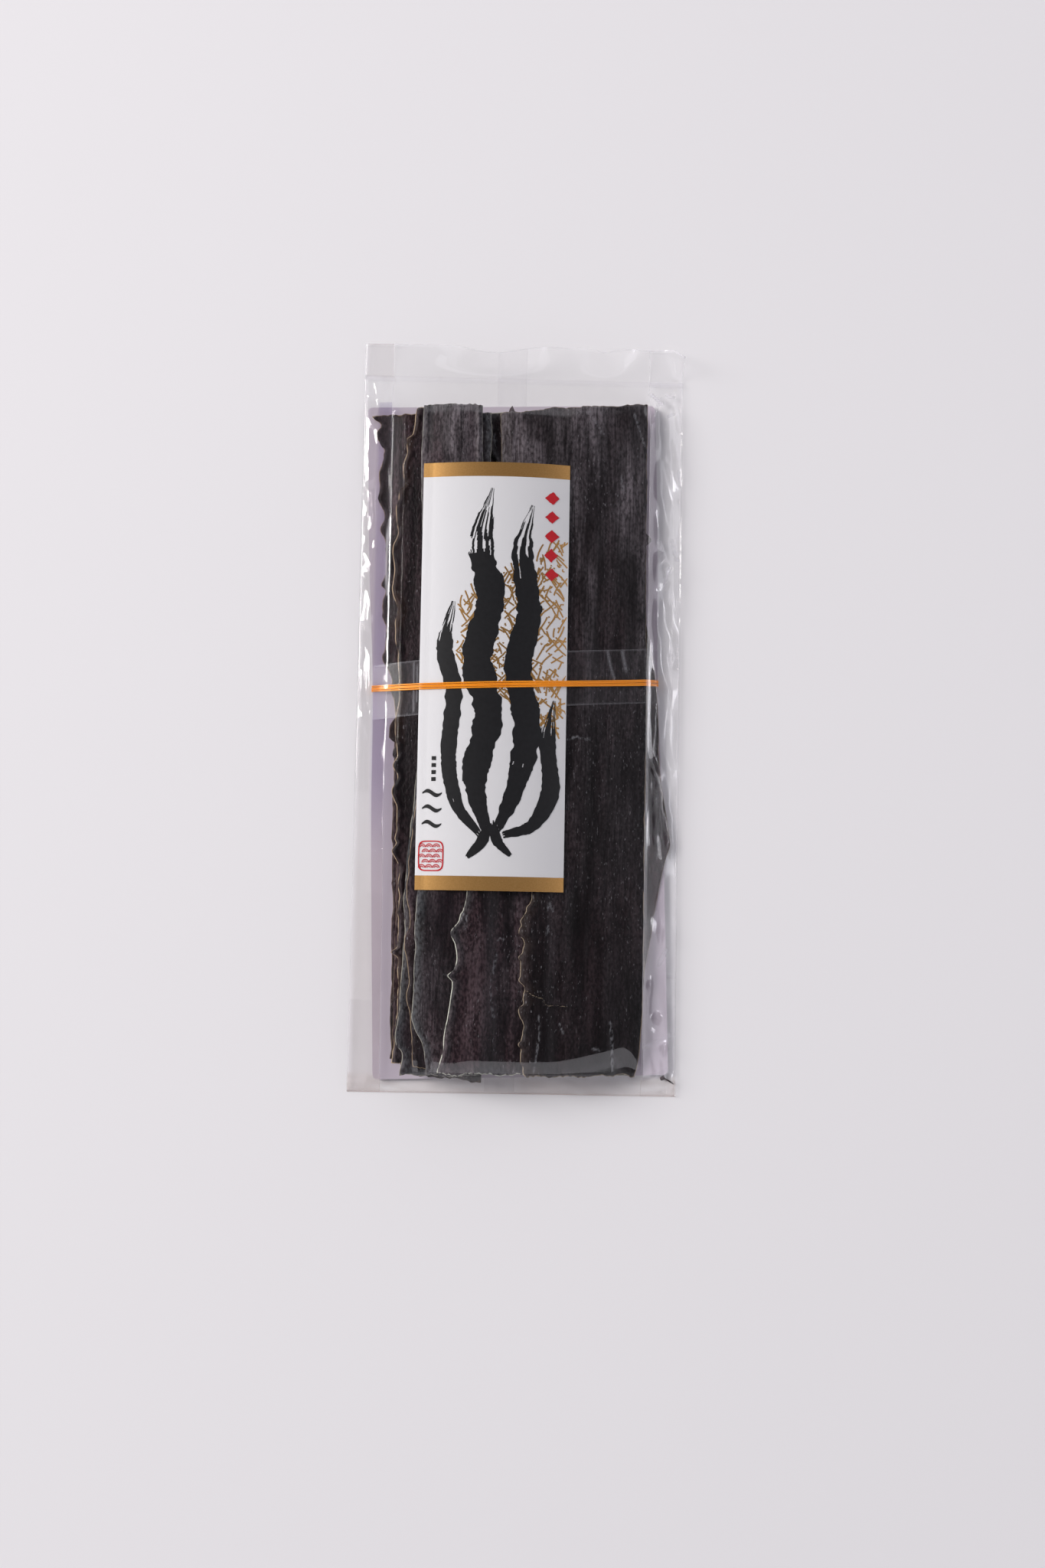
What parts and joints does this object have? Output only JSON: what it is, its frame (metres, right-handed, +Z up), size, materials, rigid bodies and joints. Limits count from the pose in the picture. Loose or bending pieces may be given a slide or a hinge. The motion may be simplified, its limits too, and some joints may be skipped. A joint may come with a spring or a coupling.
{
  "type": "dried kelp pack",
  "caption": "Flat stack of dried kelp strips on a card, tied with a rubber band under a long paper label and sealed in a clear gusseted bag.",
  "frame": {"origin": "centre of the rectangle that the pack covers, on the surface it lies on", "axes": "+X across the pack to the label's right, +Y along the pack towards the open flap, +Z up out of the labelled front"},
  "size_m": [0.16, 0.372, 0.0222],
  "materials": {
    "clear_film": "clear polypropylene film, glossy, crinkled at the sides and the open flap",
    "dried_kelp": "matt to satin near-black brown with lengthwise streaks and a pale dusty bloom",
    "backing_card": "coated pale grey card, satin",
    "label_paper": "coated white label paper, satin, with matt gold end bands",
    "print_ink": "flat printed ink in black, red and gold",
    "rubber_band": "amber rubber, satin"
  },
  "bodies": {
    "root": {"sealed_bag": "clear_film"}
  },
  "joints": []
}
